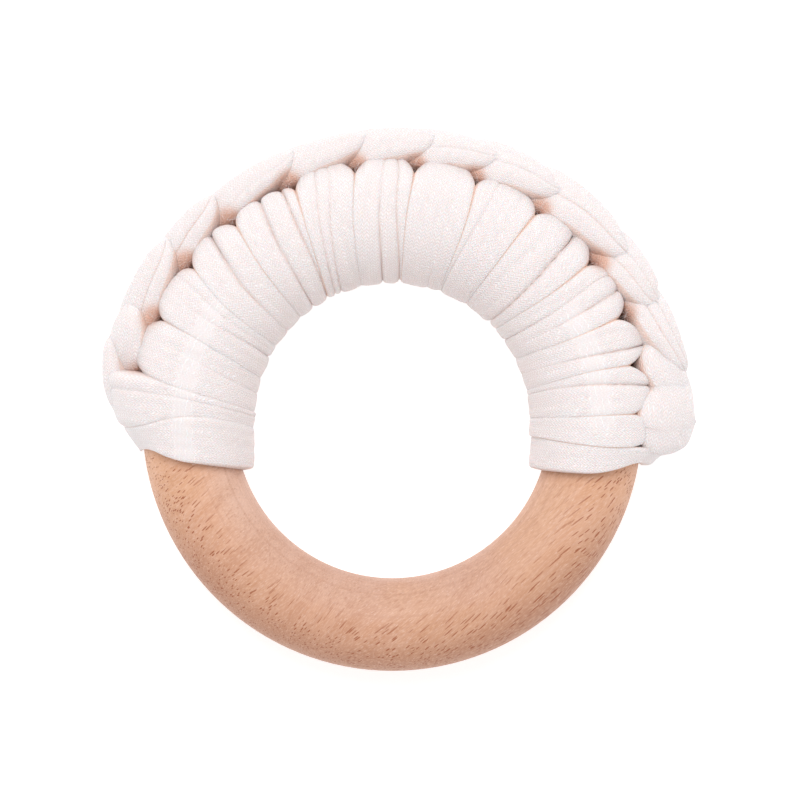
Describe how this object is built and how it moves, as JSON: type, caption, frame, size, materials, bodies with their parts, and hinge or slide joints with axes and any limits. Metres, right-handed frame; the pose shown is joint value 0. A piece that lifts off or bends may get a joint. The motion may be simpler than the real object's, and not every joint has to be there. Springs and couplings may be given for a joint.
{
  "type": "teething ring",
  "caption": "Round turned wooden teething ring with a soft cover of jersey yarn crocheted tightly round a little more than half of it.",
  "frame": {"origin": "centre of the wooden ring, on its axis and halfway through its thickness, which is the middle of the hole", "axes": "+Z is the ring's axis, out of the face on which each stitch shows as one petal. +Y points to the middle of the covered part and +X to the right, towards the fastening-off knot. The ring lies flat."},
  "size_m": [0.0834, 0.0763, 0.018],
  "materials": {
    "beech": "fine-sanded raw beech, satin",
    "jersey_yarn": "soft cotton jersey yarn, matt"
  },
  "bodies": {
    "ring": {"wooden_ring": "beech"},
    "cover": {"start_band": "jersey_yarn", "finish_band": "jersey_yarn", "wrap_01": "jersey_yarn", "wrap_02": "jersey_yarn", "wrap_03": "jersey_yarn", "wrap_04": "jersey_yarn", "wrap_05": "jersey_yarn", "wrap_06": "jersey_yarn", "wrap_07": "jersey_yarn", "wrap_08": "jersey_yarn", "wrap_09": "jersey_yarn", "wrap_10": "jersey_yarn", "wrap_11": "jersey_yarn", "wrap_12": "jersey_yarn", "wrap_13": "jersey_yarn", "wrap_14": "jersey_yarn", "top_loop_01": "jersey_yarn", "top_loop_02": "jersey_yarn", "top_loop_03": "jersey_yarn", "top_loop_04": "jersey_yarn", "top_loop_05": "jersey_yarn", "top_loop_06": "jersey_yarn", "top_loop_07": "jersey_yarn", "top_loop_08": "jersey_yarn", "top_loop_09": "jersey_yarn", "top_loop_10": "jersey_yarn", "top_loop_11": "jersey_yarn", "top_loop_12": "jersey_yarn", "top_loop_13": "jersey_yarn", "finish_knot": "jersey_yarn", "start_tail": "jersey_yarn", "finish_tail": "jersey_yarn"}
  },
  "joints": [
    {"name": "cover_slide_round", "type": "hinge", "parent": "ring", "child": "cover", "pos_m": [0, 0, 0], "axis": [0, 0, 1], "continuous": true}
  ]
}
